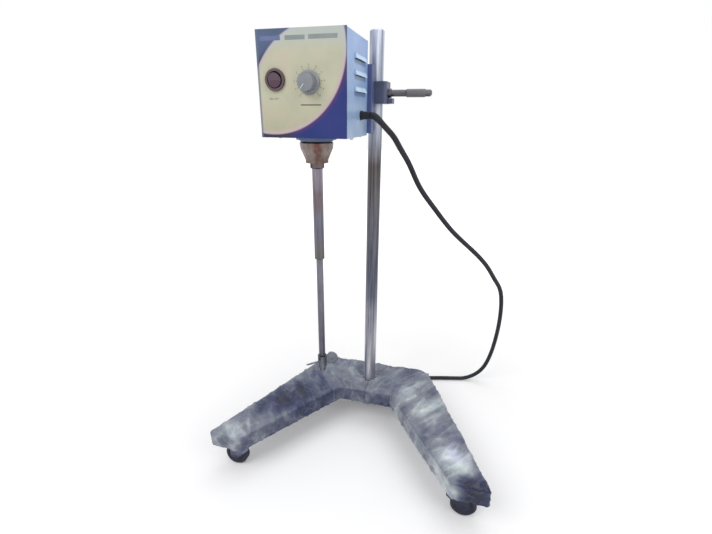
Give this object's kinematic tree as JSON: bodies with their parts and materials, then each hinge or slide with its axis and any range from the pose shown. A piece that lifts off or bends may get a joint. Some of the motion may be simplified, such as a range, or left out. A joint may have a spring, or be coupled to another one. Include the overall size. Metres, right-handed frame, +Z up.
{
  "type": "laboratory overhead stirrer",
  "caption": "Overhead stirrer: a box-shaped motor head with dial, rocker switch and chuck on a tall rod over a wheeled V-shaped stand, with a coiled mains lead.",
  "frame": {"origin": "on the floor, midway under the V-shaped stand", "axes": "+Z up along the stand rod, -Y towards the front panel and the open end of the V, +X towards the clamp handle"},
  "size_m": [0.4293, 0.3415, 0.628],
  "materials": {
    "casting": "dark navy paint over cast iron",
    "film": "crinkled clear packing film",
    "zinc_steel": "zinc-plated steel",
    "navy_paint": "dark navy paint",
    "wheel_rubber": "hard dark rubber",
    "chrome": "polished chrome",
    "cord": "black rubber cord and moulded plug",
    "blue_paint": "light blue paint",
    "panel": "printed front panel, cream and blue",
    "aluminium": "plain aluminium",
    "stator": "stacked motor laminations",
    "black_plastic": "black moulded plastic",
    "grey_plastic": "grey moulded plastic",
    "maroon_plastic": "maroon translucent rocker",
    "board": "green circuit board",
    "copper": "copper commutator",
    "chuck_steel": "dark browned steel",
    "stirrer_steel": "stainless steel"
  },
  "bodies": {
    "stand": {"base_casting": "casting", "base_film_wrap": "film", "castor_seat_front_left": "zinc_steel", "castor_seat_front_right": "zinc_steel", "castor_seat_rear_left": "zinc_steel", "castor_seat_rear_right": "zinc_steel", "stand_rod": "chrome", "rod_nut": "zinc_steel", "rod_washer": "zinc_steel", "mains_cord": "cord", "cord_coil": "cord", "mains_plug": "cord"},
    "castor_front_left": {"castor_fork_front_left": "navy_paint"},
    "castor_front_right": {"castor_fork_front_right": "navy_paint"},
    "castor_rear_left": {"castor_fork_rear_left": "navy_paint"},
    "castor_rear_right": {"castor_fork_rear_right": "navy_paint"},
    "wheel_front_left": {"castor_wheel_front_left": "wheel_rubber"},
    "wheel_front_right": {"castor_wheel_front_right": "wheel_rubber"},
    "wheel_rear_left": {"castor_wheel_rear_left": "wheel_rubber"},
    "wheel_rear_right": {"castor_wheel_rear_right": "wheel_rubber"},
    "head": {"housing_shell": "blue_paint", "front_panel": "panel", "back_plate": "blue_paint", "floor_plate": "blue_paint", "rear_bracket": "navy_paint", "clamp_block": "navy_paint", "motor_lower_bell": "aluminium", "motor_stator": "stator", "motor_upper_bell": "aluminium", "lower_bearing": "zinc_steel", "upper_bearing": "zinc_steel", "brush_holder_left": "black_plastic", "brush_holder_right": "black_plastic", "bearing_flange": "navy_paint", "speed_board": "board", "heat_sink": "aluminium", "potentiometer_body": "aluminium", "potentiometer_nut": "zinc_steel", "switch_body": "black_plastic", "terminal_block": "grey_plastic", "cord_gland": "black_plastic", "gland_nut": "black_plastic"},
    "spindle": {"spindle_shaft": "zinc_steel", "rotor_core": "stator", "commutator": "copper", "cooling_fan": "grey_plastic", "chuck_body": "chuck_steel", "chuck_sleeve": "chuck_steel", "chuck_jaw_1": "chuck_steel", "chuck_jaw_2": "chuck_steel", "chuck_jaw_3": "chuck_steel", "drive_tube": "stirrer_steel", "rod_grub_screw": "zinc_steel"},
    "stirrer": {"stirring_rod": "stirrer_steel", "propeller": "stirrer_steel"},
    "knob": {"speed_knob": "grey_plastic", "potentiometer_shaft": "aluminium"},
    "rocker": {"power_rocker": "maroon_plastic"},
    "handle": {"clamp_handle": "zinc_steel"}
  },
  "joints": [
    {"name": "castor_swivel_front_left", "type": "hinge", "parent": "stand", "child": "castor_front_left", "pos_m": [-0.162, -0.0985, 0.0404], "axis": [0, 0, 1], "continuous": true},
    {"name": "castor_swivel_front_right", "type": "hinge", "parent": "stand", "child": "castor_front_right", "pos_m": [0.162, -0.0985, 0.0404], "axis": [0, 0, 1], "continuous": true},
    {"name": "castor_swivel_rear_left", "type": "hinge", "parent": "stand", "child": "castor_rear_left", "pos_m": [-0.08, 0.0983, 0.0404], "axis": [0, 0, 1], "continuous": true},
    {"name": "castor_swivel_rear_right", "type": "hinge", "parent": "stand", "child": "castor_rear_right", "pos_m": [0.08, 0.0983, 0.0404], "axis": [0, 0, 1], "continuous": true},
    {"name": "castor_roll_front_left", "type": "hinge", "parent": "castor_front_left", "child": "wheel_front_left", "pos_m": [-0.174, -0.0985, 0.018], "axis": [0, 1, 0], "continuous": true},
    {"name": "castor_roll_front_right", "type": "hinge", "parent": "castor_front_right", "child": "wheel_front_right", "pos_m": [0.174, -0.0985, 0.018], "axis": [0, 1, 0], "continuous": true},
    {"name": "castor_roll_rear_left", "type": "hinge", "parent": "castor_rear_left", "child": "wheel_rear_left", "pos_m": [-0.092, 0.0983, 0.018], "axis": [0, 1, 0], "continuous": true},
    {"name": "castor_roll_rear_right", "type": "hinge", "parent": "castor_rear_right", "child": "wheel_rear_right", "pos_m": [0.092, 0.0983, 0.018], "axis": [0, 1, 0], "continuous": true},
    {"name": "head_height", "type": "slide", "parent": "stand", "child": "head", "axis": [0, 0, 1], "range_m": [-0.06, 0.06]},
    {"name": "clamp_handle_turn", "type": "hinge", "parent": "head", "child": "handle", "pos_m": [0.0183, 0.0733, 0.5496], "axis": [1, 0, 0], "range_deg": [0, 270]},
    {"name": "spindle_spin", "type": "hinge", "parent": "head", "child": "spindle", "pos_m": [-0.06, -0.011, 0.4877], "axis": [0, 0, 1], "continuous": true},
    {"name": "stirring_rod_reach", "type": "slide", "parent": "spindle", "child": "stirrer", "axis": [0, 0, 1], "range_m": [0, 0.08]},
    {"name": "speed_knob_turn", "type": "hinge", "parent": "head", "child": "knob", "pos_m": [-0.0492, -0.0598, 0.5551], "axis": [0, 1, 0], "range_deg": [0, 280]},
    {"name": "power_rocker_tilt", "type": "hinge", "parent": "head", "child": "rocker", "pos_m": [-0.091, -0.0613, 0.5582], "axis": [1, 0, 0], "range_deg": [-16, 0]}
  ]
}
